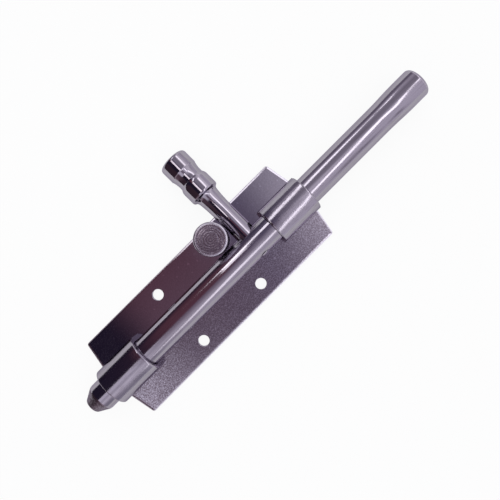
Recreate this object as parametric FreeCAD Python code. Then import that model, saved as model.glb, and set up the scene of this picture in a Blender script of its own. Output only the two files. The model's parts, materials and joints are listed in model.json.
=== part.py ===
import FreeCAD, Part
import math
import os

# A vertical door bolt that lies on the back of its plate, in millimetres.
# The origin is the centre of the plate's back face, +Z comes out of the plate,
# +Y runs along the bar towards its tail, and the handle lies towards -X.

Vector = FreeCAD.Vector
x_direction = Vector(1, 0, 0)
y_direction = Vector(0, 1, 0)
z_direction = Vector(0, 0, 1)

# Back plate
plate_width = 52.0
plate_corner_length = 138.2
plate_thickness = 2.5
plate_end_slope_deg = 10.8
plate_tip_radius = 30.0
plate_corner_radius = 1.2

# Screw holes, three corners of one rectangle
screw_hole_radius = 3.1
screw_hole_spacing_x = 35.5
screw_hole_spacing_y = 44.1
screw_hole_middle_y = -0.5

# Straps that hold the bar
strap_length = 26.0
strap_wall = 2.6
strap_setback = 0.9
strap_edge_radius = 0.6
strap_tenon_length = 14.0

# Bar, with its nose at the low end and its tail at the high end
bar_radius = 8.0
bar_side_clearance = 0.4
bar_floor_clearance = 0.3
nose_reach = 13.4
nose_cone_length = 6.8
nose_tip_radius = 4.2
nose_edge_radius = 1.0
tail_reach = 82.6
tail_radius = 8.5
tail_head_length = 15.0
tail_taper_length = 11.0
tail_edge_radius = 2.0

# Turned joint inside the bar, between its nose and the rest
pivot_radius = 5.0
pivot_length = 9.0
pivot_clearance = 0.05

# Handle, lengths measured from the bar's axis
handle_height_on_bar = 34.7
handle_droop_deg = 2.0
handle_length = 63.0
handle_end_edge_radius = 1.8
handle_cap_radius = 8.35
handle_cap_length = 9.0
handle_waist_radius = 7.35
handle_waist_length = 3.5
handle_collar_radius = 7.5
handle_collar_length = 3.0
handle_ring_radius = 8.4
handle_ring_rise = 1.8
handle_ring_length = 7.5
handle_ring_edge_radius = 1.1
handle_neck_radius = 6.4
handle_neck_drop = 1.8
handle_taper_length = 6.9
handle_stem_radius = 5.7
handle_pin_radius = 4.4
handle_pin_reach = 6.6

# Stop post, on which the handle rests under a round head
post_radius = 5.75
post_head_radius = 9.05
post_head_thickness = 4.0
post_head_edge_radius = 0.8
post_head_clearance = 0.2
post_room_under_head = 14.1
post_tenon_radius = 4.0
post_rivet_depth = 0.9

# Gap at every fixed joint, such as a tenon in its slot
seat_clearance = 0.02

# Two places closer than this are the same place
same_place = 0.01


# Places that follow from the sizes
plate_half_length = plate_corner_length / 2
plate_tip_rise = plate_width / 2 * math.tan(math.radians(plate_end_slope_deg))
plate_tip_y = plate_half_length + plate_tip_rise
axis_z = plate_thickness + bar_floor_clearance + bar_radius
strap_inner_radius = bar_radius + bar_side_clearance
strap_outer_radius = strap_inner_radius + strap_wall
strap_outer_end = plate_tip_y - strap_setback
strap_centre_y = strap_outer_end - strap_length / 2
nose_tip_y = -plate_tip_y - nose_reach
tail_tip_y = plate_tip_y + tail_reach
split_y = -strap_centre_y
post_x = -screw_hole_spacing_x / 2
post_y = handle_height_on_bar - handle_stem_radius - post_head_clearance - post_head_radius
post_head_base_z = plate_thickness + post_room_under_head
post_top_z = post_head_base_z + post_head_thickness


def box(low, high):
    size = high - low
    return Part.makeBox(size.x, size.y, size.z, low)


def cylinder(radius, start, end):
    along = end - start
    return Part.makeCylinder(radius, along.Length, start, along)


def turned(profile, base, along):
    """Turn a list of (length, radius) points about a line through base."""
    lengths = [point[0] for point in profile]
    corners = [Vector(radius, 0, length) for length, radius in profile]
    corners.append(Vector(0, 0, lengths[-1]))
    corners.insert(0, Vector(0, 0, lengths[0]))
    face = Part.Face(Part.makePolygon(corners + [corners[0]]))
    solid = face.revolve(Vector(0, 0, 0), z_direction, 360)
    turn = FreeCAD.Rotation(z_direction, along)
    solid.Placement = FreeCAD.Placement(base, turn)
    return solid


def rounded(shape, radius, chosen):
    """Round the edges of a shape that the function chosen accepts."""
    edges = [edge for edge in shape.Edges if chosen(edge)]
    return shape.makeFillet(radius, edges)


def ring_edge(centre, radius):
    """Say which edges are full circles of this radius about this centre."""
    def chosen(edge):
        if edge.Curve.TypeId != "Part::GeomCircle":
            return False
        near = (edge.Curve.Center - centre).Length < same_place
        return near and abs(edge.Curve.Radius - radius) < same_place
    return chosen


def only_solid(shape):
    return shape.Solids[0]


def make_back_plate():
    half_width = plate_width / 2
    corners = [
        Vector(-half_width, -plate_half_length, 0),
        Vector(0, -plate_tip_y, 0),
        Vector(half_width, -plate_half_length, 0),
        Vector(half_width, plate_half_length, 0),
        Vector(0, plate_tip_y, 0),
        Vector(-half_width, plate_half_length, 0),
    ]
    outline = Part.Face(Part.makePolygon(corners + [corners[0]]))
    plate = outline.extrude(z_direction * plate_thickness)

    def upright(edge):
        return abs(edge.BoundBox.ZLength - plate_thickness) < same_place

    def at_tip(edge):
        return upright(edge) and abs(edge.CenterOfMass.x) < same_place

    def at_corner(edge):
        return upright(edge) and abs(abs(edge.CenterOfMass.x) - half_width) < same_place

    plate = rounded(plate, plate_tip_radius, at_tip)
    plate = rounded(plate, plate_corner_radius, at_corner)
    for side_x, side_y in ((-1, -1), (1, -1), (1, 1)):
        x = side_x * screw_hole_spacing_x / 2
        y = screw_hole_middle_y + side_y * screw_hole_spacing_y / 2
        below = Vector(x, y, -plate_thickness)
        above = Vector(x, y, 2 * plate_thickness)
        plate = plate.cut(cylinder(screw_hole_radius, below, above))
    for side in (-1, 1):
        for leg in (-1, 1):
            plate = plate.cut(make_tenon(side * strap_centre_y, leg, seat_clearance))
    plate = plate.cut(make_post_root(seat_clearance))
    return only_solid(plate)


def make_tenon(centre_y, leg, clearance):
    """Make the tongue of one strap leg, which fills a slot in the plate."""
    inner = strap_inner_radius - clearance
    outer = strap_outer_radius + clearance
    half_length = strap_tenon_length / 2 + clearance
    near_x = min(leg * inner, leg * outer)
    far_x = max(leg * inner, leg * outer)
    low = Vector(near_x, centre_y - half_length, 0)
    high = Vector(far_x, centre_y + half_length, plate_thickness)
    return box(low, high)


def make_strap(centre_y):
    low_y = centre_y - strap_length / 2
    high_y = centre_y + strap_length / 2
    start = Vector(0, low_y, axis_z)
    end = Vector(0, high_y, axis_z)

    def arch(radius):
        legs = box(Vector(-radius, low_y, plate_thickness), Vector(radius, high_y, axis_z))
        return legs.fuse(cylinder(radius, start, end)).removeSplitter()

    floor = box(Vector(-plate_width, low_y, -plate_width), Vector(plate_width, high_y, plate_thickness))
    outside = arch(strap_outer_radius).cut(floor)
    inside = arch(strap_inner_radius)

    def at_ends(edge):
        middle_y = edge.CenterOfMass.y
        flat = edge.BoundBox.YLength < same_place
        on_floor = edge.BoundBox.ZMax < plate_thickness + same_place
        return flat and not on_floor and abs(abs(middle_y - centre_y) - strap_length / 2) < same_place

    strap = rounded(outside, strap_edge_radius, at_ends).cut(inside)
    for leg in (-1, 1):
        strap = strap.fuse(make_tenon(centre_y, leg, 0))
    return only_solid(strap.removeSplitter())


def make_post_root(clearance):
    """Make the post's tenon with its riveted end, or the plate's hole for it."""
    radius = post_tenon_radius + clearance
    rivet_radius = radius + post_rivet_depth
    base = Vector(post_x, post_y, 0)
    root = cylinder(radius, base, base + z_direction * plate_thickness)
    rivet = Part.makeCone(rivet_radius, radius, post_rivet_depth, base, z_direction)
    return root.fuse(rivet)


def make_stop_post():
    foot = Vector(post_x, post_y, plate_thickness)
    head_base = Vector(post_x, post_y, post_head_base_z)
    top = Vector(post_x, post_y, post_top_z)
    head = cylinder(post_head_radius, head_base, top)
    head = rounded(head, post_head_edge_radius, ring_edge(top, post_head_radius))
    post = cylinder(post_radius, foot, head_base).fuse(head)
    return only_solid(post.fuse(make_post_root(0)).removeSplitter())


def make_bolt_nose():
    base = Vector(0, nose_tip_y, axis_z)
    length = split_y - nose_tip_y
    profile = [(0, nose_tip_radius), (nose_cone_length, bar_radius), (length, bar_radius)]
    nose = turned(profile, base, y_direction)
    shoulder = base + y_direction * nose_cone_length
    for centre, radius in ((base, nose_tip_radius), (shoulder, bar_radius)):
        nose = rounded(nose, nose_edge_radius, ring_edge(centre, radius))
    face = Vector(0, split_y, axis_z)
    pivot = cylinder(pivot_radius, face, face + y_direction * pivot_length)
    return only_solid(nose.fuse(pivot))


def make_bolt_bar():
    base = Vector(0, split_y, axis_z)
    length = tail_tip_y - split_y
    taper_end = length - tail_head_length
    taper_start = taper_end - tail_taper_length
    profile = [
        (0, bar_radius),
        (taper_start, bar_radius),
        (taper_end, tail_radius),
        (length, tail_radius),
    ]
    bar = turned(profile, base, y_direction)
    tail_face = Vector(0, tail_tip_y, axis_z)
    bar = rounded(bar, tail_edge_radius, ring_edge(tail_face, tail_radius))
    socket_end = base + y_direction * (pivot_length + pivot_clearance)
    bar = bar.cut(cylinder(pivot_radius + pivot_clearance, base, socket_end))
    return only_solid(bar.cut(make_pin(handle_pin_radius + seat_clearance, 2 * bar_radius)))


def make_pin(radius, reach):
    """Make the handle's pin through the bar, which goes this far past the bar's axis."""
    start = Vector(reach, handle_height_on_bar, axis_z)
    end = Vector(-2 * bar_radius, handle_height_on_bar, axis_z)
    return drooped(cylinder(radius, start, end))


def drooped(shape):
    """Turn a shape about the bar so that the handle's end hangs down a little."""
    centre = Vector(0, handle_height_on_bar, axis_z)
    turned_shape = shape.copy()
    turned_shape.rotate(centre, y_direction, -handle_droop_deg)
    return turned_shape


def make_handle():
    cap_start = handle_length - handle_cap_length
    waist = cap_start - handle_waist_length
    collar = waist - handle_collar_length
    ring_end = collar - handle_ring_rise
    ring_start = ring_end - handle_ring_length
    neck = ring_start - handle_neck_drop
    stem_end = neck - handle_taper_length
    profile = [
        (0, handle_stem_radius),
        (stem_end, handle_stem_radius),
        (neck, handle_neck_radius),
        (ring_start, handle_ring_radius),
        (ring_end, handle_ring_radius),
        (collar, handle_collar_radius),
        (waist, handle_waist_radius),
        (cap_start, handle_cap_radius),
        (handle_length, handle_cap_radius),
    ]
    centre = Vector(0, handle_height_on_bar, axis_z)
    handle = turned(profile, centre, -x_direction)
    end_face = centre - x_direction * handle_length
    ring_base = centre - x_direction * ring_start
    handle = rounded(handle, handle_end_edge_radius, ring_edge(end_face, handle_cap_radius))
    handle = rounded(handle, handle_ring_edge_radius, ring_edge(ring_base, handle_ring_radius))
    handle = drooped(handle)
    along_bar = y_direction * 2 * bar_radius
    saddle = cylinder(bar_radius + seat_clearance, centre - along_bar, centre + along_bar)
    pin = make_pin(handle_pin_radius, handle_pin_reach)
    return only_solid(handle.cut(saddle).fuse(pin).removeSplitter())


nodes = {
    "back_plate": make_back_plate(),
    "lower_strap": make_strap(-strap_centre_y),
    "upper_strap": make_strap(strap_centre_y),
    "stop_post": make_stop_post(),
    "bolt_nose": make_bolt_nose(),
    "bolt_bar": make_bolt_bar(),
    "handle": make_handle(),
}

os.makedirs("parts", exist_ok=True)
for name, shape in nodes.items():
    shape.exportStep(f"parts/{name}.step")
    extent = shape.optimalBoundingBox()
    print(
        f"{name}: volume {shape.Volume:.1f}, valid {shape.isValid()}, "
        f"x {extent.XMin:.2f} to {extent.XMax:.2f}, y {extent.YMin:.2f} to {extent.YMax:.2f}, "
        f"z {extent.ZMin:.2f} to {extent.ZMax:.2f}"
    )
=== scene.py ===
import bmesh
import bpy
import json
import math
from mathutils import Matrix, Vector


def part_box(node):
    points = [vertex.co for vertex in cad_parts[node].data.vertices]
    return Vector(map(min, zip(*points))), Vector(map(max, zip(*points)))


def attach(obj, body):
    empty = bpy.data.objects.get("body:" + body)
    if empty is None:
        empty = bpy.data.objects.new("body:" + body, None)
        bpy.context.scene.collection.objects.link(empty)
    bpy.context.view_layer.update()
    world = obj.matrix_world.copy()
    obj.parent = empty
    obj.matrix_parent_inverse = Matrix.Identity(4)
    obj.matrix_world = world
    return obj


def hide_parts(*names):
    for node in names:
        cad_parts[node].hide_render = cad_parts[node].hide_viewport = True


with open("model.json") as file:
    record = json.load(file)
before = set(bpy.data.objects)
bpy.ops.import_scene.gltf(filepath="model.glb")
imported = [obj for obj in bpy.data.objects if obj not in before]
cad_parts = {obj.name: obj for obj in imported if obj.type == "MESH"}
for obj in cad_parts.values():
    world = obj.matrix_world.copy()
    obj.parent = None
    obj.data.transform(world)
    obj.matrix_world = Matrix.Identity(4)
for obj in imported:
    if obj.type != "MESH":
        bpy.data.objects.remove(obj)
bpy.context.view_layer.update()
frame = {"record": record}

mm = 0.001
samePlace = 0.001 * mm     # points nearer than this are one point
print("frame loaded")


# Camera, straight above the plate as in the photo, with the bar rising to the upper right

cameraSet = {
    "height": 300.2 * mm,
    "across": 0.5 * mm,        # the picture's middle, from the plate's centre line
    "along": 30.3 * mm,
    "turn": 45.0,              # degrees, about the line of sight
    "lens": 39.24,
    "sensor": 36.0,
    "clipStart": 10.0 * mm,
}


def makeCamera(values):
    camera = bpy.data.cameras.new("photoCamera")
    camera.lens = values["lens"]
    camera.sensor_width = values["sensor"]
    camera.clip_start = values["clipStart"]
    holder = bpy.data.objects.new("photoCamera", camera)
    holder.location = (values["across"], values["along"], values["height"])
    holder.rotation_euler = (0, 0, math.radians(values["turn"]))
    bpy.context.scene.collection.objects.link(holder)
    bpy.context.scene.camera = holder


makeCamera(cameraSet)
bpy.context.scene.view_settings.view_transform = "Standard"
print("camera set")


# Sizes that come from the frame

plateLow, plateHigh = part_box("back_plate")
noseLow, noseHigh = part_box("bolt_nose")
barLow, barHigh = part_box("bolt_bar")
postLow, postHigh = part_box("stop_post")
handleLow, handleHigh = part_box("handle")
mounts = {mount["name"]: mount for mount in frame["record"]["mounts"]}
barRadius = (noseHigh.x - noseLow.x) / 2
barAxis = (noseHigh.z + noseLow.z) / 2
plateTop = plateHigh.z
postMiddle = ((postLow.x + postHigh.x) / 2, (postLow.y + postHigh.y) / 2, 0)
handleMiddle = (handleLow.y + handleHigh.y) / 2


# Node helpers

def addNode(tree, kind, **settings):
    node = tree.nodes.new(kind)
    for name, value in settings.items():
        setattr(node, name, value)
    return node


def feed(tree, socket, value):
    if isinstance(value, bpy.types.NodeSocket):
        tree.links.new(value, socket)
    else:
        socket.default_value = value


def maths(tree, operation, first, second=0.0, third=0.0, clamp=False):
    node = addNode(tree, "ShaderNodeMath", operation=operation, use_clamp=clamp)
    for socket, value in zip(node.inputs, (first, second, third)):
        feed(tree, socket, value)
    return node.outputs[0]


def vectorMaths(tree, operation, first, second=(0, 0, 0), out=0):
    node = addNode(tree, "ShaderNodeVectorMath", operation=operation)
    feed(tree, node.inputs[0], first)
    feed(tree, node.inputs[1], second)
    return node.outputs[out]


def apart(tree, vector):
    node = addNode(tree, "ShaderNodeSeparateXYZ")
    feed(tree, node.inputs[0], vector)
    return node.outputs


# A soft step, which gives start up to where the value is at empty, and end from where it is at full
def ramp(tree, value, empty, full, start=0.0, end=1.0):
    node = addNode(tree, "ShaderNodeMapRange", interpolation_type="SMOOTHSTEP")
    for socket, number in zip(node.inputs, (value, empty, full, start, end)):
        feed(tree, socket, number)
    return node.outputs[0]


# A mix node has one set of sockets for each kind of data
def mixColour(tree, factor, first, second):
    node = addNode(tree, "ShaderNodeMix", data_type="RGBA")
    feed(tree, node.inputs[0], factor)
    feed(tree, node.inputs[6], first)
    feed(tree, node.inputs[7], second)
    return node.outputs[2]


def mixNumber(tree, factor, first, second):
    node = addNode(tree, "ShaderNodeMix", data_type="FLOAT")
    feed(tree, node.inputs[0], factor)
    feed(tree, node.inputs[2], first)
    feed(tree, node.inputs[3], second)
    return node.outputs[0]


def noise(tree, vector, scale, detail, rough):
    node = addNode(tree, "ShaderNodeTexNoise")
    feed(tree, node.inputs["Vector"], vector)
    feed(tree, node.inputs["Scale"], scale)
    feed(tree, node.inputs["Detail"], detail)
    feed(tree, node.inputs["Roughness"], rough)
    return node.outputs[0]


# Moves or stretches a pattern
def mapped(tree, vector, move=(0, 0, 0), scale=(1, 1, 1)):
    node = addNode(tree, "ShaderNodeMapping", vector_type="POINT")
    feed(tree, node.inputs["Vector"], vector)
    feed(tree, node.inputs["Location"], move)
    feed(tree, node.inputs["Scale"], scale)
    return node.outputs[0]


def newGroup(name, inputs, outputs):
    group = bpy.data.node_groups.new(name, "ShaderNodeTree")
    for label, kind in inputs:
        group.interface.new_socket(label, in_out="INPUT", socket_type=kind)
    for label, kind in outputs:
        group.interface.new_socket(label, in_out="OUTPUT", socket_type=kind)
    return group, addNode(group, "NodeGroupInput").outputs, addNode(group, "NodeGroupOutput").inputs


def placeGroup(tree, group, **values):
    node = addNode(tree, "ShaderNodeGroup", node_tree=group)
    for label, value in values.items():
        feed(tree, node.inputs[label], value)
    return node.outputs


vectorKind = "NodeSocketVector"
numberKind = "NodeSocketFloat"


# Surface effects that several finishes share

# Fine pits and mottling of a plated surface
def makeGrain():
    group, given, result = newGroup(
        "platingGrain",
        [("Vector", vectorKind), ("Size", numberKind), ("Patches", numberKind)],
        [("Height", numberKind), ("Fine", numberKind), ("Mottle", numberKind)],
    )
    fine = noise(group, given["Vector"], given["Size"], detail=3.0, rough=0.6)
    broad = noise(group, given["Vector"], given["Patches"], detail=2.0, rough=0.5)
    feed(group, result["Height"], maths(group, "MULTIPLY", fine, broad))
    feed(group, result["Fine"], fine)
    feed(group, result["Mottle"], ramp(group, broad, empty=0.3, full=0.7))
    return group


wearScale = 140.0


# Long faint lines left by drawing or turning, along one axis
def makeStreaks():
    group, given, result = newGroup(
        "drawnStreaks",
        [("Vector", vectorKind), ("Fine", numberKind)],
        [("Height", numberKind), ("Wear", numberKind)],
    )
    lines = noise(group, given["Vector"], given["Fine"], detail=4.0, rough=0.65)
    worn = noise(group, given["Vector"], wearScale, detail=2.0, rough=0.5)
    feed(group, result["Height"], lines)
    feed(group, result["Wear"], ramp(group, worn, empty=0.45, full=0.75))
    return group


smearScale = 45.0


# Dull fingermarks, small specks and dust
def makeMarks():
    group, given, result = newGroup(
        "handlingMarks",
        [("Vector", vectorKind), ("Specks", numberKind)],
        [("Smear", numberKind), ("Speck", numberKind)],
    )
    smear = noise(group, given["Vector"], smearScale, detail=3.0, rough=0.55)
    speck = noise(group, given["Vector"], given["Specks"], detail=0.0, rough=0.5)
    feed(group, result["Smear"], ramp(group, smear, empty=0.5, full=0.78))
    feed(group, result["Speck"], ramp(group, speck, empty=0.76, full=0.82))
    return group


ringEffect = {
    "wobbleScale": 260.0,
    "wobble": 1.4 * mm,        # how far a ring strays
    "wornScale": 240.0,
    "wornLeast": 0.2,          # what is left of a ring where it is worn
    "unevenScale": 700.0,
    "uneven": 0.9,
}


# Turning rings about the Z axis of the vector, a little wavy and worn away in places
def makeRings(values):
    group, given, result = newGroup(
        "turningRings",
        [("Vector", vectorKind), ("Pitch", numberKind)],
        [("Height", numberKind), ("Band", numberKind)],
    )
    flat = vectorMaths(group, "MULTIPLY", given["Vector"], (1, 1, 0))
    radius = vectorMaths(group, "LENGTH", flat, out=1)
    wobble = noise(group, given["Vector"], values["wobbleScale"], detail=2.0, rough=0.6)
    shifted = maths(group, "MULTIPLY_ADD", wobble, values["wobble"], radius)
    rings = maths(group, "SINE", maths(group, "MULTIPLY", shifted, given["Pitch"]))
    worn = noise(group, given["Vector"], values["wornScale"], detail=2.0, rough=0.6)
    left = ramp(group, worn, empty=0.40, full=0.62, start=values["wornLeast"])
    wave = maths(group, "MULTIPLY", rings, left)
    uneven = noise(group, given["Vector"], values["unevenScale"], detail=3.0, rough=0.6)
    feed(group, result["Height"], maths(group, "MULTIPLY_ADD", uneven, values["uneven"], wave))
    feed(group, result["Band"], maths(group, "MULTIPLY_ADD", wave, 0.5, 0.5))
    return group


grainGroup = makeGrain()
streakGroup = makeStreaks()
marksGroup = makeMarks()
ringsGroup = makeRings(ringEffect)
print("node groups made")


# Finishes, each one plated steel with its own wear

slantTint = (1.0, 0.94, 1.08)  # the plating mirrors a little more blue and less green at a slant


# slant is the share that the plating still mirrors at a slant, the same all over a piece
def startFinish(name, values):
    material = bpy.data.materials.new(name)
    material.use_nodes = True
    tree = material.node_tree
    shader = tree.nodes["Principled BSDF"]
    slant = [values["slant"] * part for part in slantTint]
    shader.inputs["Metallic"].default_value = 1.0
    shader.inputs["Specular Tint"].default_value = (*slant, 1)
    place = addNode(tree, "ShaderNodeTexCoord").outputs["Object"]
    return material, tree, shader, place


def addRelief(tree, shader, height, depth, strength):
    bump = addNode(tree, "ShaderNodeBump")
    feed(tree, bump.inputs["Height"], height)
    feed(tree, bump.inputs["Distance"], depth)
    feed(tree, bump.inputs["Strength"], strength)
    feed(tree, shader.inputs["Normal"], bump.outputs[0])


plateFinish = {
    "colour": (0.40, 0.37, 0.42),
    "pit": (0.20, 0.16, 0.19),
    "pale": (0.62, 0.59, 0.66),
    # rim is a pale colour painted along the outline, a painted highlight of the edge
    "rim": (0.85, 0.83, 0.89),
    "rimHighlightShare": 0.8,
    "rimRough": 0.42,
    "rimInside": 0.7 * mm,     # in from the outline, where the painted highlight sets in
    "rimOutside": 0.3 * mm,    # and where it is full
    "slant": 0.9,
    "rough": 0.055,
    "grainyRough": 0.075,      # added on the right half, which is the grainy one
    "mottleRough": 0.03,
    "smearRough": 0.05,
    "grainyFrom": -4.0 * mm,   # across the plate
    "grainyTo": 6.0 * mm,
    "coarseFrom": -20.0 * mm,  # along the plate, towards its low end
    "coarseTo": -55.0 * mm,
    "grain": 1900.0,
    "coarseGrain": 1700.0,
    "patches": 55.0,
    "specks": 420.0,
    "speckShare": 0.6,
    "colourShares": {"all": 0.16, "grainy": 0.45, "coarse": 0.39},
    "reliefShares": {"all": 0.08, "grainy": 0.3, "coarse": 0.55},
    "grainDepth": 0.03 * mm,
}


# 1 near the plate's outline, where its edge is painted pale as a highlight and made duller
def paintedRimHighlight(tree, place, values):
    side = apart(tree, vectorMaths(tree, "ABSOLUTE", place))
    across = maths(tree, "SUBTRACT", side["X"], plateHigh.x)
    slope = (plateHigh.y - plateSet["cornerLength"] / 2) / plateHigh.x
    end = maths(tree, "MULTIPLY_ADD", side["X"], slope, side["Y"])
    along = maths(tree, "SUBTRACT", end, plateHigh.y)
    nearest = maths(tree, "MAXIMUM", across, along)
    return ramp(tree, nearest, -values["rimInside"], -values["rimOutside"])


# How strong the grain is over the plate
def grainShare(tree, grainy, coarse, shares):
    share = maths(tree, "MULTIPLY_ADD", grainy, shares["grainy"], shares["all"])
    return maths(tree, "MULTIPLY_ADD", coarse, shares["coarse"], share)


def makePlateFinish(values):
    material, tree, shader, place = startFinish("platedPlate", values)
    grain = placeGroup(tree, grainGroup, Vector=place, Size=values["grain"], Patches=values["patches"])
    marks = placeGroup(tree, marksGroup, Vector=place, Specks=values["specks"])
    side = apart(tree, place)
    grainy = ramp(tree, side["X"], values["grainyFrom"], values["grainyTo"])
    low = ramp(tree, side["Y"], values["coarseFrom"], values["coarseTo"])
    coarse = maths(tree, "MULTIPLY", grainy, low)
    rim = paintedRimHighlight(tree, place, values)
    rough = maths(tree, "MULTIPLY_ADD", grainy, values["grainyRough"], values["rough"])
    rough = maths(tree, "MULTIPLY_ADD", grain["Mottle"], values["mottleRough"], rough)
    rough = maths(tree, "MULTIPLY_ADD", marks["Smear"], values["smearRough"], rough)
    feed(tree, shader.inputs["Roughness"], mixNumber(tree, rim, rough, values["rimRough"]))
    rougher = noise(tree, place, values["coarseGrain"], detail=4.0, rough=0.8)
    fine = mixNumber(tree, coarse, grain["Fine"], rougher)
    share = grainShare(tree, grainy, coarse, values["colourShares"])
    spots = maths(tree, "MULTIPLY", ramp(tree, fine, empty=0.56, full=0.42), share)
    glints = maths(tree, "MULTIPLY", ramp(tree, fine, empty=0.51, full=0.62), share)
    specks = maths(tree, "MULTIPLY", marks["Speck"], values["speckShare"])
    colour = mixColour(tree, spots, (*values["colour"], 1), (*values["pit"], 1))
    colour = mixColour(tree, glints, colour, (*values["pale"], 1))
    colour = mixColour(tree, specks, colour, (*values["pale"], 1))
    # paints the highlight along the outline into the plate's colour
    colour = mixColour(tree, maths(tree, "MULTIPLY", rim, values["rimHighlightShare"]), colour, (*values["rim"], 1))
    feed(tree, shader.inputs["Base Color"], colour)
    relief = grainShare(tree, grainy, coarse, values["reliefShares"])
    addRelief(tree, shader, maths(tree, "MULTIPLY", grain["Height"], relief), values["grainDepth"], 1.0)
    return material


barFinish = {
    "colour": (0.41, 0.38, 0.43),
    "worn": (0.27, 0.24, 0.27),
    "lineShare": 0.6,
    "wornShare": 0.3,
    "slant": 0.7,
    "rough": 0.10,
    "wornRough": 0.05,
    "smearRough": 0.06,
    "stretch": (1.0, 0.03, 1.0),
    "lines": 1600.0,
    "specks": 500.0,
    "grain": 1500.0,
    "patches": 90.0,
    "grainShare": 0.35,
    "streakDepth": 0.02 * mm,
    "relief": 0.7,
}
strapFinish = {**barFinish, "rough": 0.125, "slant": 0.5, "stretch": (1.0, 0.10, 1.0), "grainShare": 1.1}
# the post's colour is paler than the bar's: painted light that lifts the shade under its head
postFinishWithPaintedLight = {**barFinish, "colour": (0.58, 0.55, 0.61), "rough": 0.26, "slant": 0.6}
handleFinish = {**barFinish, "rough": 0.05, "stretch": (0.08, 1.0, 1.0), "streakDepth": 0.012 * mm}


# Bright drawn or turned steel, with its streaks stretched along the piece
def makeDrawnFinish(name, values):
    material, tree, shader, place = startFinish(name, values)
    streaks = placeGroup(tree, streakGroup, Vector=mapped(tree, place, scale=values["stretch"]),
                         Fine=values["lines"])
    marks = placeGroup(tree, marksGroup, Vector=place, Specks=values["specks"])
    grain = placeGroup(tree, grainGroup, Vector=place, Size=values["grain"], Patches=values["patches"])
    lines = maths(tree, "MULTIPLY", ramp(tree, streaks["Height"], empty=0.5, full=0.68), values["lineShare"])
    worn = maths(tree, "MULTIPLY_ADD", streaks["Wear"], values["wornShare"], lines)
    colour = mixColour(tree, worn, (*values["colour"], 1), (*values["worn"], 1))
    feed(tree, shader.inputs["Base Color"], colour)
    rough = maths(tree, "MULTIPLY_ADD", streaks["Wear"], values["wornRough"], values["rough"])
    rough = maths(tree, "MULTIPLY_ADD", marks["Smear"], values["smearRough"], rough)
    feed(tree, shader.inputs["Roughness"], rough)
    height = maths(tree, "MULTIPLY_ADD", grain["Fine"], values["grainShare"], streaks["Height"])
    addRelief(tree, shader, height, values["streakDepth"], values["relief"])
    return material


noseFinish = {
    # the cone's dark colour is partly its dull turned finish and partly painted shade for a dark reflection
    "colour": (0.15, 0.12, 0.14),
    "pale": (0.34, 0.31, 0.35),
    "rough": 0.34,
    "grain": 1500.0,
    "patches": 200.0,
    "grainShare": 2.5,
    "above": 0.3 * mm,         # how far past the cone's end it has turned bright
    "below": 0.2 * mm,
}


# The nose, whose cone is turned and left dull and is painted dark, partly for that finish and partly as
# painted shade for a dark reflection, with the rest as bright as the bar
def makeNoseFinish(values, coneEnd):
    material = makeDrawnFinish("plainNose", barFinish)
    tree = material.node_tree
    shader = tree.nodes["Principled BSDF"]
    place = addNode(tree, "ShaderNodeTexCoord").outputs["Object"]
    cone = ramp(tree, apart(tree, place)["Y"], coneEnd + values["above"], coneEnd - values["below"])
    grain = placeGroup(tree, grainGroup, Vector=place, Size=values["grain"], Patches=values["patches"])
    glints = ramp(tree, grain["Fine"], empty=0.45, full=0.65)
    turnedAndShadedCone = mixColour(tree, glints, (*values["colour"], 1), (*values["pale"], 1))
    bright = shader.inputs["Base Color"].links[0].from_socket
    # mixes the dull, painted-dark cone into the bar's colour
    feed(tree, shader.inputs["Base Color"], mixColour(tree, cone, bright, turnedAndShadedCone))
    smooth = shader.inputs["Roughness"].links[0].from_socket
    feed(tree, shader.inputs["Roughness"], mixNumber(tree, cone, smooth, values["rough"]))
    relief = shader.inputs["Normal"].links[0].from_node
    streaks = relief.inputs["Height"].links[0].from_socket
    pits = maths(tree, "MULTIPLY", grain["Fine"], values["grainShare"])
    feed(tree, relief.inputs["Height"], mixNumber(tree, cone, streaks, pits))
    return material


headFinish = {
    "colour": (0.36, 0.32, 0.37),
    "dark": (0.13, 0.09, 0.12),
    "speck": (0.5, 0.47, 0.52),
    "slant": 0.8,
    "rough": 0.16,
    "blotchRough": 0.14,
    "pitch": 4800.0,           # radians of the rings' wave to a metre
    "grain": 1700.0,
    "patches": 260.0,
    "specks": 600.0,
    "ringShare": 0.35,
    "blotchShare": 0.6,
    "speckShare": 0.5,
    "grainShare": 1.5,
    "depth": 0.03 * mm,
    "relief": 0.7,
}


# The post's head, with turning rings about its own middle
def makeHeadFinish(values, centre):
    material, tree, shader, place = startFinish("turnedHead", values)
    centred = mapped(tree, place, move=tuple(-part for part in centre))
    rings = placeGroup(tree, ringsGroup, Vector=centred, Pitch=values["pitch"])
    grain = placeGroup(tree, grainGroup, Vector=place, Size=values["grain"], Patches=values["patches"])
    marks = placeGroup(tree, marksGroup, Vector=place, Specks=values["specks"])
    dark = maths(tree, "MULTIPLY", rings["Band"], values["ringShare"])
    dark = maths(tree, "MULTIPLY_ADD", grain["Mottle"], values["blotchShare"], dark)
    specks = maths(tree, "MULTIPLY", marks["Speck"], values["speckShare"])
    colour = mixColour(tree, dark, (*values["colour"], 1), (*values["dark"], 1))
    feed(tree, shader.inputs["Base Color"], mixColour(tree, specks, colour, (*values["speck"], 1)))
    rough = maths(tree, "MULTIPLY_ADD", grain["Mottle"], values["blotchRough"], values["rough"])
    feed(tree, shader.inputs["Roughness"], rough)
    height = maths(tree, "MULTIPLY_ADD", grain["Fine"], values["grainShare"], rings["Height"])
    addRelief(tree, shader, height, values["depth"], values["relief"])
    return material


# Shapes

cornerAngle = 60.0             # degrees, more than this is a true corner of the shape


# Edges where two faces meet at a true corner
def cornerEdges(bm):
    limit = math.radians(cornerAngle)
    return [edge for edge in bm.edges if edge.is_manifold and edge.calc_face_angle() > limit]


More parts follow.
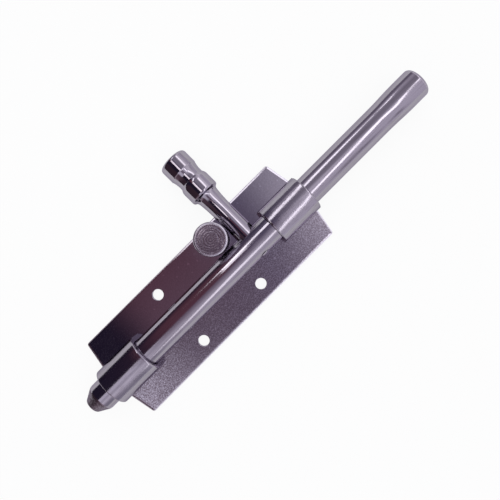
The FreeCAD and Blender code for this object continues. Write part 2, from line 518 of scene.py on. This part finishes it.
def bevelEdges(bm, edges, width, steps):
    bmesh.ops.bevel(bm, geom=edges, offset=width, offset_type="OFFSET", segments=steps,
                    profile=0.5, affect="EDGES", material=-1, clamp_overlap=True)


def roundPoints(bm, points, radius, steps, clamp=True):
    bmesh.ops.bevel(bm, geom=points, offset=radius, offset_type="OFFSET", segments=steps,
                    profile=0.5, affect="VERTICES", material=-1, clamp_overlap=clamp)


# Turns a bmesh into the object that stands for a node. Edges of more than sharp degrees stay crisp
def finishPiece(name, bm, body, node, material, sharp):
    bmesh.ops.remove_doubles(bm, verts=bm.verts, dist=samePlace)
    bmesh.ops.recalc_face_normals(bm, faces=bm.faces)
    mesh = bpy.data.meshes.new(name)
    bm.to_mesh(mesh)
    bm.free()
    mesh.shade_smooth()
    mesh.set_sharp_from_angle(angle=math.radians(sharp))
    mesh.materials.append(material)
    piece = bpy.data.objects.new(name, mesh)
    bpy.context.scene.collection.objects.link(piece)
    # keeps the flats flat beside their bevels
    evened = piece.modifiers.new("evenNormals", "WEIGHTED_NORMAL")
    evened.keep_sharp = True
    evened.weight = 100
    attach(piece, body)
    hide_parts(node)
    print(name, "made with", len(mesh.polygons), "faces")
    return piece


# Spins (length, radius, rounding) corners about Z into a closed shell
def turnProfile(bm, corners, steps):
    points = [bm.verts.new((radius, 0, length)) for length, radius, rounding in corners]
    for first, second in zip(points, points[1:]):
        bm.edges.new((first, second))
    for point, (length, radius, rounding) in zip(points, corners):
        if rounding > 0:
            roundPoints(bm, [point], rounding, steps=6)
    bmesh.ops.spin(bm, geom=bm.verts[:] + bm.edges[:], cent=(0, 0, 0), axis=(0, 0, 1), dvec=(0, 0, 0),
                   angle=math.tau, steps=steps, use_merge=True, use_normal_flip=False, use_duplicate=False)
    bmesh.ops.remove_doubles(bm, verts=bm.verts, dist=samePlace)


# Lays a shape made along Z so that it starts at base and runs this way
def aimAt(bm, base, along):
    turn = Vector((0, 0, 1)).rotation_difference(Vector(along)).to_matrix().to_4x4()
    bmesh.ops.transform(bm, matrix=Matrix.Translation(base) @ turn, verts=bm.verts)


def pointsOf(geom):
    return [item for item in geom if isinstance(item, bmesh.types.BMVert)]


# Back plate

plateSet = {
    "cornerLength": 138.2 * mm,
    "tipRadius": 30.0 * mm,
    "tipSteps": 8,
    "cornerRadius": 1.2 * mm,
    "cornerSteps": 5,
    "rollWidth": 1.1 * mm,     # the sheared edge rolls over before it turns down
    "rollDrop": 0.3 * mm,
    "edgeRound": 0.3 * mm,
    "holeRound": 0.12 * mm,
    "holeSteps": 48,
}


def screwHoles():
    pair = mounts["screw_holes_right"]
    single = mounts["screw_hole_left"]
    spacing = pair["dims"]["spacing_y_mm"] * mm
    x, y = pair["pos_m"][0], pair["pos_m"][1]
    radius = single["dims"]["r_mm"] * mm
    return [(x, y - spacing / 2), (x, y + spacing / 2), tuple(single["pos_m"][:2])], radius


def isLevel(edge):
    return abs(edge.verts[0].co.z - edge.verts[1].co.z) < 0.1 * samePlace


def makePlate(values, material):
    halfWidth = plateHigh.x
    halfCorner = values["cornerLength"] / 2
    slope = math.atan2(plateHigh.y - halfCorner, halfWidth)
    tip = plateHigh.y + values["tipRadius"] * (1 / math.cos(slope) - 1)
    bm = bmesh.new()
    outline = [(-halfWidth, -halfCorner), (0, -tip), (halfWidth, -halfCorner),
               (halfWidth, halfCorner), (0, tip), (-halfWidth, halfCorner)]
    points = [bm.verts.new((x, y, 0)) for x, y in outline]
    for first, second in zip(points, points[1:] + points[:1]):
        bm.edges.new((first, second))
    tips = [points[1], points[4]]
    corners = [point for point in points if point not in tips]
    roundPoints(bm, tips, values["tipRadius"] * math.tan(slope), values["tipSteps"], clamp=False)
    roundPoints(bm, corners, values["cornerRadius"], values["cornerSteps"], clamp=False)
    places, radius = screwHoles()
    for x, y in places:
        bmesh.ops.create_circle(bm, cap_ends=False, radius=radius, segments=values["holeSteps"],
                                matrix=Matrix.Translation((x, y, 0)))
    bmesh.ops.triangle_fill(bm, use_beauty=True, use_dissolve=False, edges=bm.edges[:], normal=(0, 0, 1))
    raised = bmesh.ops.extrude_face_region(bm, geom=bm.faces[:])["geom"]
    bmesh.ops.translate(bm, verts=pointsOf(raised), vec=(0, 0, plateTop))
    top = [face for face in bm.faces if face.normal.z > 0.9]
    bmesh.ops.inset_region(bm, faces=top, thickness=values["rollWidth"], depth=0, use_boundary=True,
                           use_even_offset=True)

    def inHole(edge):
        return any((edge.verts[0].co.xy - Vector(place)).length < 1.2 * radius for place in places)

    rims = [edge for edge in cornerEdges(bm) if isLevel(edge)]
    holes = [edge for edge in rims if inHole(edge)]
    outer = [edge for edge in rims if edge not in holes]
    rolled = {vert for edge in outer for vert in edge.verts if vert.co.z > plateTop / 2}
    bmesh.ops.translate(bm, verts=list(rolled), vec=(0, 0, -values["rollDrop"]))
    bevelEdges(bm, outer, values["edgeRound"], steps=3)
    bevelEdges(bm, holes, values["holeRound"], steps=2)
    return finishPiece("backPlate", bm, "base", "back_plate", material, sharp=15)


# Straps

strapSet = {
    "wall": 2.6 * mm,
    "tenon": 14.0 * mm,        # how wide the tongue is that goes through the plate
    "chamfer": 0.95 * mm,
    "boreRound": 0.25 * mm,
    "steps": 64,
}


# How far a point of a strap is from the bar's axis, or from its upright plane below the axis
def reach(point):
    return math.hypot(point.x, max(point.z - barAxis, 0))


# Pushes the faces this far down and leaves none behind where they were
def pushDown(bm, faces, drop):
    pushed = bmesh.ops.extrude_face_region(bm, geom=faces)["geom"]
    bmesh.ops.delete(bm, geom=[face for face in faces if face.is_valid], context="FACES_ONLY")
    bmesh.ops.translate(bm, verts=pointsOf(pushed), vec=(0, 0, -drop))


def makeStrap(name, node, values, material):
    low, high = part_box(node)
    outer = high.x
    inner = outer - values["wall"]
    middle = (low.y + high.y) / 2
    bm = bmesh.new()
    corners = [(-outer, low.y), (-inner, low.y), (-inner, high.y), (-outer, high.y)]
    wall = bm.faces.new([bm.verts.new((x, y, barAxis)) for x, y in corners])
    spun = bmesh.ops.spin(bm, geom=[wall], cent=(0, 0, barAxis), axis=(0, 1, 0), dvec=(0, 0, 0),
                          angle=math.pi, steps=values["steps"], use_merge=False,
                          use_normal_flip=False, use_duplicate=False)
    feet = [wall] + [item for item in spun["geom_last"] if isinstance(item, bmesh.types.BMFace)]
    pushDown(bm, feet, barAxis - plateTop)
    for side in (-1, 1):
        cut = Vector((0, middle + side * values["tenon"] / 2, 0))
        bmesh.ops.bisect_plane(bm, geom=bm.verts[:] + bm.edges[:] + bm.faces[:], dist=0.1 * samePlace,
                               plane_co=cut, plane_no=(0, 1, 0))

    def isTongue(face):
        centre = face.calc_center_median()
        onPlate = abs(face.normal.z) > 0.9 and abs(centre.z - plateTop) < samePlace
        return onPlate and abs(centre.y - middle) < values["tenon"] / 4

    pushDown(bm, [face for face in bm.faces if isTongue(face)], plateTop - plateLow.z)
    bmesh.ops.remove_doubles(bm, verts=bm.verts, dist=samePlace)
    bmesh.ops.recalc_face_normals(bm, faces=bm.faces)
    justOver = plateTop + 10 * samePlace
    ends = [edge for edge in cornerEdges(bm) if min(vert.co.z for vert in edge.verts) > justOver]
    outside = [edge for edge in ends if reach(edge.verts[0].co) > (outer + inner) / 2]
    inside = [edge for edge in ends if edge not in outside]
    bevelEdges(bm, outside, values["chamfer"], steps=3)
    bevelEdges(bm, inside, values["boreRound"], steps=2)
    return finishPiece(name, bm, "base", node, material, sharp=25)


# Bar and nose

barSet = {
    "coneLength": 6.8 * mm,
    "tipRadius": 4.2 * mm,
    "noseRound": 1.0 * mm,
    "pivotLength": 9.0 * mm,   # the nose's pivot, which the bar hides, so it is left out here
    "tailHead": 15.0 * mm,     # the wide end of the tail
    "tailTaper": 11.0 * mm,    # and the taper up to it
    "taperRound": 4.0 * mm,
    "tailRound": 2.0 * mm,
    "holeRadius": 4.45 * mm,
    "steps": 128,
    "holeSteps": 64,
}


def makeNose(values, material):
    split = noseHigh.y - values["pivotLength"] - noseLow.y
    bm = bmesh.new()
    corners = [
        (0, 0, 0),
        (0, values["tipRadius"], values["noseRound"]),
        (values["coneLength"], barRadius, values["noseRound"]),
        (split, barRadius, 0),
        (split, 0, 0),
    ]
    turnProfile(bm, corners, values["steps"])
    aimAt(bm, (0, noseLow.y, barAxis), (0, 1, 0))
    return finishPiece("boltNose", bm, "rod_end", "bolt_nose", material, sharp=35)


def makeBar(values, material):
    length = barHigh.y - barLow.y
    tailRadius = (barHigh.x - barLow.x) / 2
    taperEnd = length - values["tailHead"]
    bm = bmesh.new()
    corners = [
        (0, 0, 0),
        (0, barRadius, 0),
        (taperEnd - values["tailTaper"], barRadius, values["taperRound"]),
        (taperEnd, tailRadius, values["taperRound"]),
        (length, tailRadius, values["tailRound"]),
        (length, 0, 0),
    ]
    turnProfile(bm, corners, values["steps"])
    aimAt(bm, (0, barLow.y, barAxis), (0, 1, 0))
    bar = finishPiece("boltBar", bm, "bolt", "bolt_bar", material, sharp=35)
    drillBar(bar, values)
    return bar


# Drills the hole that the handle's pin goes through, and leaves no drill behind
def drillBar(bar, values):
    bm = bmesh.new()
    bmesh.ops.create_cone(bm, cap_ends=True, cap_tris=False, segments=values["holeSteps"],
                          radius1=values["holeRadius"], radius2=values["holeRadius"], depth=4 * barRadius)
    aimAt(bm, (0, handleMiddle, barAxis), handleWay)
    mesh = bpy.data.meshes.new("drill")
    bm.to_mesh(mesh)
    bm.free()
    drill = bpy.data.objects.new("drill", mesh)
    bpy.context.scene.collection.objects.link(drill)
    cut = bar.modifiers.new("pinHole", "BOOLEAN")
    cut.operation = "DIFFERENCE"
    cut.solver = "EXACT"
    cut.object = drill
    bar.modifiers["evenNormals"].show_viewport = False
    bpy.context.view_layer.update()
    seen = bar.evaluated_get(bpy.context.evaluated_depsgraph_get())
    drilled = bpy.data.meshes.new_from_object(seen)
    bar.modifiers.remove(cut)
    bar.modifiers["evenNormals"].show_viewport = True
    bar.data = drilled
    bpy.data.objects.remove(drill)


# Handle

handleSet = {
    "droop": 2.0,              # degrees that its end hangs down
    "length": 63.0 * mm,
    "seatShare": 0.7,          # of the bar's radius, where its stem starts, hidden inside the bar
    "stem": 5.7 * mm,
    "pinRadius": 4.4 * mm,
    "pinShoulder": 5.0 * mm,   # from here a groove narrows it, which leaves a dark ring in the bar's hole
    "pinGroove": 2.6 * mm,
    "pinEndRadius": 3.9 * mm,
    "pinReach": 7.15 * mm,
    "pinEndRound": 0.2 * mm,
    "pinDome": 8.25 * mm,      # its riveted end is a little domed
    "pinDomeRadius": 1.95 * mm,
    "pinDomeRound": 1.0 * mm,
    "steps": 96,
    # millimetres along the handle from the bar's axis, radius and rounding
    "outline": [
        (29.5, 5.7, 4.0),
        (35.6, 6.35, 0.5),
        (36.7, 6.9, 0.2),
        (37.5, 8.15, 0.2),
        (38.3, 8.4, 0.3),
        (45.7, 8.4, 0.9),
        (47.2, 7.7, 0.15),
        (47.5, 7.45, 0.15),
        (50.5, 7.35, 1.5),
        (53.6, 8.05, 0.15),
        (54.0, 8.3, 0.15),
        (63.0, 8.35, 1.8),
    ],
}
handleDroop = math.radians(handleSet["droop"])
handleWay = (-math.cos(handleDroop), 0, -math.sin(handleDroop))


def makeHandle(values, material):
    seat = barRadius * values["seatShare"]
    bm = bmesh.new()
    corners = [
        (-values["pinDome"], 0, 0),
        (-values["pinDome"], values["pinDomeRadius"], values["pinDomeRound"]),
        (-values["pinReach"], values["pinEndRadius"], values["pinEndRound"]),
        (-values["pinShoulder"], values["pinGroove"], 0),
        (-values["pinShoulder"], values["pinRadius"], 0),
        (seat, values["pinRadius"], 0),
        (seat, values["stem"], 0),
    ]
    corners += [(place * mm, radius * mm, rounding * mm) for place, radius, rounding in values["outline"]]
    corners.append((values["length"], 0, 0))
    turnProfile(bm, corners, values["steps"])
    aimAt(bm, (0, handleMiddle, barAxis), handleWay)
    return finishPiece("boltHandle", bm, "bolt", "handle", material, sharp=30)


# Stop post

postSet = {
    "stem": 5.75 * mm,
    "stemRound": 0.4 * mm,
    "headThickness": 4.0 * mm,
    "headUnderRound": 0.3 * mm,
    "headRound": 0.9 * mm,
    "tenon": 4.0 * mm,
    "rivet": 0.9 * mm,
    "rimWidth": 1.4 * mm,      # the plain rim around the rings
    "rings": 3,
    "ringTop": 0.02 * mm,      # this and the next depths are below the top of the head
    "ringTopRound": 0.05 * mm,
    "ringDepth": 0.045 * mm,
    "ringDepthRound": 0.1 * mm,
    "ringSlope": 0.45,         # of the step from ring to ring, how far inwards one is deepest
    "middleDepth": 0.04 * mm,
    "faceDepth": 0.3 * mm,     # how far down the finish of the rings reaches
    "steps": 96,
}


def makePost(values, material, headMaterial):
    head = (postHigh.x - postLow.x) / 2
    headBase = postHigh.z - values["headThickness"]
    bm = bmesh.new()
    corners = [
        (0, 0, 0),
        (0, values["tenon"] + values["rivet"], 0),
        (values["rivet"], values["tenon"], 0),
        (plateTop, values["tenon"], 0),
        (plateTop, values["stem"], 0),
        (headBase, values["stem"], values["stemRound"]),
        (headBase, head, values["headUnderRound"]),
        (postHigh.z, head, values["headRound"]),
    ]
    faceRadius = head - values["rimWidth"]
    step = faceRadius / (values["rings"] + 0.5)
    for ring in range(values["rings"]):
        outside = faceRadius - ring * step
        deepest = outside - step * values["ringSlope"]
        corners.append((postHigh.z - values["ringTop"], outside, values["ringTopRound"]))
        corners.append((postHigh.z - values["ringDepth"], deepest, values["ringDepthRound"]))
    corners.append((postHigh.z - values["middleDepth"], 0, 0))
    turnProfile(bm, corners, values["steps"])
    bmesh.ops.translate(bm, verts=bm.verts, vec=postMiddle)
    for face in bm.faces:
        middle = face.calc_center_median()
        flat = math.hypot(middle.x - postMiddle[0], middle.y - postMiddle[1])
        if middle.z > postHigh.z - values["faceDepth"] and flat < faceRadius:
            face.material_index = 1
    piece = finishPiece("stopPost", bm, "base", "stop_post", material, sharp=30)
    piece.data.materials.append(headMaterial)
    return piece


plateMaterial = makePlateFinish(plateFinish)
barMaterial = makeDrawnFinish("drawnBar", barFinish)
noseMaterial = makeNoseFinish(noseFinish, noseLow.y + barSet["coneLength"])
strapMaterial = makeDrawnFinish("plainStrap", strapFinish)
postMaterial = makeDrawnFinish("turnedPost", postFinishWithPaintedLight)
handleMaterial = makeDrawnFinish("turnedHandle", handleFinish)
headMaterial = makeHeadFinish(headFinish, postMiddle)
print("finishes made")

makePlate(plateSet, plateMaterial)
makeStrap("lowerStrap", "lower_strap", strapSet, strapMaterial)
makeStrap("upperStrap", "upper_strap", strapSet, strapMaterial)
makeNose(barSet, noseMaterial)
makeBar(barSet, barMaterial)
makeHandle(handleSet, handleMaterial)
makePost(postSet, postMaterial, headMaterial)


# Floor, and a round tent of soft cloth that only the metal sees

# How much of the plain white background the camera and the metal see
def seenRays(tree, metalShare):
    path = addNode(tree, "ShaderNodeLightPath")
    metal = maths(tree, "ADD", path.outputs["Is Glossy Ray"], path.outputs["Is Transmission Ray"])
    return maths(tree, "MULTIPLY_ADD", metal, metalShare, path.outputs["Is Camera Ray"], clamp=True)


# Starts a studio material without the Principled BSDF
def studioMaterial(name):
    material = bpy.data.materials.new(name)
    material.use_nodes = True
    material.node_tree.nodes.remove(material.node_tree.nodes["Principled BSDF"])
    return material, material.node_tree, material.node_tree.nodes["Material Output"].inputs["Surface"]


def stagePiece(name, bm, material):
    mesh = bpy.data.meshes.new(name)
    bm.to_mesh(mesh)
    bm.free()
    mesh.materials.append(material)
    piece = bpy.data.objects.new(name, mesh)
    bpy.context.scene.collection.objects.link(piece)
    return piece


floorSet = {
    "size": 6.0,
    "drop": 0.02 * mm,         # below the plate's back, so that the two never share a plane
    "colour": (0.78, 0.78, 0.79),
    "whiteShare": 0.91,
    "metalShare": 0.28,        # of that white, what the metal sees, so that it also mirrors its own shadow
}


def makeFloor(values):
    bm = bmesh.new()
    bmesh.ops.create_grid(bm, x_segments=1, y_segments=1, size=values["size"])
    bmesh.ops.translate(bm, verts=bm.verts, vec=(0, 0, -values["drop"]))
    material, tree, surface = studioMaterial("paleFloor")
    matt = addNode(tree, "ShaderNodeBsdfDiffuse")
    matt.inputs["Color"].default_value = (*values["colour"], 1)
    glow = addNode(tree, "ShaderNodeEmission")
    mixer = addNode(tree, "ShaderNodeMixShader")
    white = maths(tree, "MULTIPLY", seenRays(tree, values["metalShare"]), values["whiteShare"])
    feed(tree, mixer.inputs[0], white)
    tree.links.new(matt.outputs[0], mixer.inputs[1])
    tree.links.new(glow.outputs[0], mixer.inputs[2])
    tree.links.new(mixer.outputs[0], surface)
    stagePiece("floor", bm, material)


# What the metal sees of the tent. A band gives colours by the degrees that the view leans from straight
# up towards +X. A zone's from and to say where it sets in, by the sine of the view's lean towards +Y
tentSet = {
    "radius": 5.0,
    "middle": [
        (-90, (0.05, 0.025, 0.045)), (-74, (0.07, 0.035, 0.06)), (-55, (0.16, 0.065, 0.09)),
        (-8, (0.17, 0.07, 0.10)), (-0.5, (0.215, 0.13, 0.175)), (1.5, (0.25, 0.20, 0.27)),
        (5, (0.26, 0.21, 0.28)), (18, (0.38, 0.32, 0.40)), (36, (0.64, 0.60, 0.70)),
        (90, (0.76, 0.73, 0.84)),
    ],
    "zones": [
        {"from": -0.2, "to": -0.29, "band": [
            (-90, (0.025, 0.018, 0.04)), (-1, (0.025, 0.018, 0.04)), (1, (0.90, 0.86, 0.98)),
            (15, (0.86, 0.82, 0.95)), (27, (0.62, 0.59, 0.70)), (38, (1.0, 0.96, 1.08)),
            (50, (0.80, 0.76, 0.88)), (62, (0.46, 0.43, 0.52)), (76, (0.36, 0.34, 0.42)),
            (90, (0.42, 0.40, 0.50)),
        ]},
        {"from": -0.5, "to": -0.7, "band": [
            (-90, (0.05, 0.03, 0.045)), (-20, (0.06, 0.035, 0.05)), (15, (0.16, 0.10, 0.13)),
            (60, (0.46, 0.38, 0.43)), (90, (0.5, 0.42, 0.48)),
        ]},
        {"from": -0.07, "to": 0.01, "band": [
            (-90, (0.08, 0.07, 0.115)), (-60, (0.12, 0.10, 0.17)), (-10, (0.145, 0.12, 0.205)),
            (-2, (0.20, 0.17, 0.25)), (5, (0.28, 0.235, 0.33)), (18, (0.46, 0.42, 0.52)),
            (36, (0.66, 0.62, 0.73)), (90, (0.76, 0.73, 0.84)),
        ]},
        {"from": 0.04, "to": 0.15, "band": [
            (-90, (0.22, 0.19, 0.26)), (-70, (0.24, 0.21, 0.28)), (-62, (0.64, 0.60, 0.69)),
            (-54, (0.56, 0.52, 0.62)), (-36, (0.33, 0.30, 0.37)), (-13, (0.37, 0.34, 0.41)),
            (-4, (0.60, 0.57, 0.67)), (2, (0.84, 0.79, 0.90)), (20, (0.78, 0.74, 0.86)),
            (90, (0.74, 0.70, 0.82)),
        ]},
    ],
    # a dark gap between two cloths, low towards +X
    "gap": {
        "colour": (0.12, 0.10, 0.14),
        "share": 0.8,
        "starts": (0.2, 0.28),     # by the sine of the lean towards +Y
        "ends": (0.34, 0.29),
        "inner": (0.95, 1.15),     # radians from straight up towards +X
        "outer": (1.45, 1.25),
    },
    "far": {"from": 0.45, "to": 0.65, "colour": (1.0, 0.96, 1.05)},
    "edge": {"from": 0.8, "to": 0.92, "colour": (0.70, 0.66, 0.77)},
}


def bandRamp(tree, lean, stops):
    bands = addNode(tree, "ShaderNodeValToRGB")
    feed(tree, bands.inputs[0], maths(tree, "MULTIPLY_ADD", lean, 1 / math.pi, 0.5))
    elements = bands.color_ramp.elements
    while len(elements) < len(stops):
        elements.new(0.5)
    for element, (degrees, colour) in zip(elements, stops):
        element.position = (degrees + 90) / 180
        element.color = (*colour, 1)
    return bands.outputs[0]


def tentColour(tree, values):
    place = addNode(tree, "ShaderNodeTexCoord").outputs["Object"]
    direction = apart(tree, vectorMaths(tree, "NORMALIZE", place))
    lean = maths(tree, "ARCTAN2", direction["X"], direction["Z"])
    along = direction["Y"]
    colour = bandRamp(tree, lean, values["middle"])
    for zone in values["zones"]:
        share = ramp(tree, along, zone["from"], zone["to"])
        colour = mixColour(tree, share, colour, bandRamp(tree, lean, zone["band"]))
    gap = values["gap"]
    lengthwise = maths(tree, "MULTIPLY", ramp(tree, along, *gap["starts"]), ramp(tree, along, *gap["ends"]))
    crosswise = maths(tree, "MULTIPLY", ramp(tree, lean, *gap["inner"]), ramp(tree, lean, *gap["outer"]))
    dark = maths(tree, "MULTIPLY", maths(tree, "MULTIPLY", lengthwise, crosswise), gap["share"])
    colour = mixColour(tree, dark, colour, (*gap["colour"], 1))
    for zone in (values["far"], values["edge"]):
        colour = mixColour(tree, ramp(tree, along, zone["from"], zone["to"]), colour, (*zone["colour"], 1))
    return colour


# A half ball over the floor, which is seen only where the metal mirrors it
def makeTent(values):
    bm = bmesh.new()
    bmesh.ops.create_uvsphere(bm, u_segments=48, v_segments=24, radius=values["radius"])
    below = [vert for vert in bm.verts if vert.co.z < -mm]
    bmesh.ops.delete(bm, geom=below, context="VERTS")
    material, tree, surface = studioMaterial("tentCloth")
    glow = addNode(tree, "ShaderNodeEmission")
    feed(tree, glow.inputs["Color"], tentColour(tree, values))
    tree.links.new(glow.outputs[0], surface)
    tent = stagePiece("tent", bm, material)
    tent.data.shade_smooth()
    for way in ("camera", "diffuse", "shadow", "transmission", "volume_scatter"):
        setattr(tent, "visible_" + way, False)


worldSet = {
    "light": (0.88, 0.88, 0.9),
    "background": (1.0, 1.0, 1.0),
}


def makeWorld(values):
    world = bpy.data.worlds.new("plainWorld")
    bpy.context.scene.world = world
    world.use_nodes = True
    tree = world.node_tree
    background = tree.nodes["Background"]
    colour = mixColour(tree, seenRays(tree, 1.0), (*values["light"], 1), (*values["background"], 1))
    feed(tree, background.inputs["Color"], colour)
    background.inputs["Strength"].default_value = 1.0


# Long soft lamps overhead. Places and widths are in heights of the lamp above the floor

lampSet = {
    "right": {"height": 2.0, "from": (1.9, -0.46), "to": (0.90, 0.11), "width": 0.34, "radiance": 1.3},
    "highRight": {"height": 2.0, "from": (0.90, 0.11), "to": (0.05, 0.44), "width": 0.12, "radiance": 2.1},
    "left": {"height": 2.0, "from": (-0.66, -0.03), "to": (-1.5, 0.56), "width": 0.26, "radiance": 2.1},
    "top": {"height": 2.0, "from": (0.05, 0.54), "to": (-0.5, 1.1), "width": 0.24, "radiance": 1.5},
    # a short one close over the handle
    "near": {"height": 0.137, "from": (-0.72, 0.122), "to": (-0.277, 0.122),
             "width": 0.185, "radiance": 1.8},
}


def makeLamp(name, values):
    height = values["height"]
    start = Vector((*values["from"], 1.0)) * height
    end = Vector((*values["to"], 1.0)) * height
    run = end - start
    lamp = bpy.data.lights.new(name, "AREA")
    lamp.shape = "RECTANGLE"
    lamp.size = run.length
    lamp.size_y = values["width"] * height
    lamp.energy = values["radiance"] * math.pi * lamp.size * lamp.size_y
    holder = bpy.data.objects.new(name, lamp)
    holder.location = (start + end) / 2
    holder.rotation_euler = (0, 0, math.atan2(run.y, run.x))
    holder.visible_camera = False
    bpy.context.scene.collection.objects.link(holder)


makeFloor(floorSet)
makeTent(tentSet)
makeWorld(worldSet)
for lampName, lampValues in lampSet.items():
    makeLamp(lampName + "Lamp", lampValues)
print("studio made")
